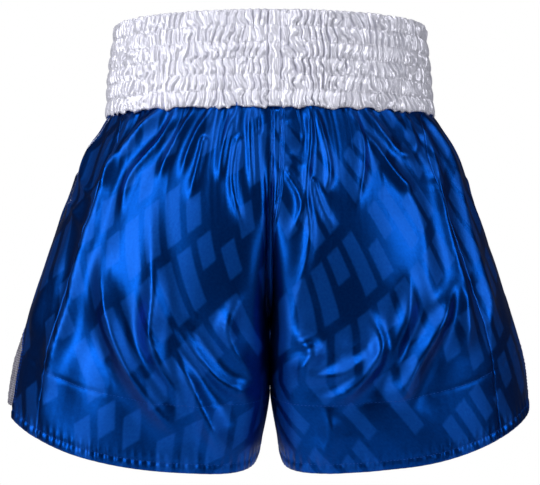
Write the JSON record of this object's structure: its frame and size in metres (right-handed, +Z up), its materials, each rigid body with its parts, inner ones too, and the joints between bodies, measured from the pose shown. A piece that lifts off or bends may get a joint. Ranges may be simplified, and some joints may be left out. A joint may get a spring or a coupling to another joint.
{
  "type": "boxing shorts",
  "caption": "Wide-legged satin fight shorts with a tall gathered elastic waistband, a deep seat seam and open vents at the sides.",
  "frame": {"origin": "centre of the waist opening, in the plane of the waistband's top edge", "axes": "+Z up, the wearer faces -Y, the wearer's left is +X"},
  "size_m": [0.464, 0.2343, 0.3773],
  "materials": {
    "satin_blue": "royal blue satin with a tonal woven pattern",
    "satin_white": "white satin, gathered",
    "elastic_white": "knitted elastic",
    "mesh_silver": "silver-grey knitted mesh",
    "thread_blue": "blue sewing thread",
    "thread_white": "white sewing thread",
    "label_white": "woven label tape, blank"
  },
  "bodies": {
    "root": {"back_hem_facing_left": "satin_blue", "back_hem_facing_right": "satin_blue", "back_panel_left": "satin_blue", "back_panel_right": "satin_blue", "back_rise_stitching": "thread_blue", "crotch_gusset": "satin_blue", "drawcord_buttonhole_left": "thread_white", "drawcord_buttonhole_right": "thread_white", "front_panel_left": "satin_blue", "front_panel_right": "satin_blue", "front_rise_stitching": "thread_blue", "hem_stitching_left": "thread_blue", "hem_stitching_right": "thread_blue", "side_panel_left": "satin_blue", "side_panel_right": "satin_blue", "size_label": "label_white", "vent_insert_left": "mesh_silver", "vent_insert_right": "mesh_silver", "vent_stitching_left": "thread_blue", "vent_stitching_right": "thread_blue", "waist_elastic_1": "elastic_white", "waist_elastic_2": "elastic_white", "waist_elastic_3": "elastic_white", "waist_elastic_4": "elastic_white", "waist_elastic_5": "elastic_white", "waist_elastic_6": "elastic_white", "waistband_casing": "satin_white", "waistband_channel_stitching": "thread_white"}
  },
  "joints": []
}
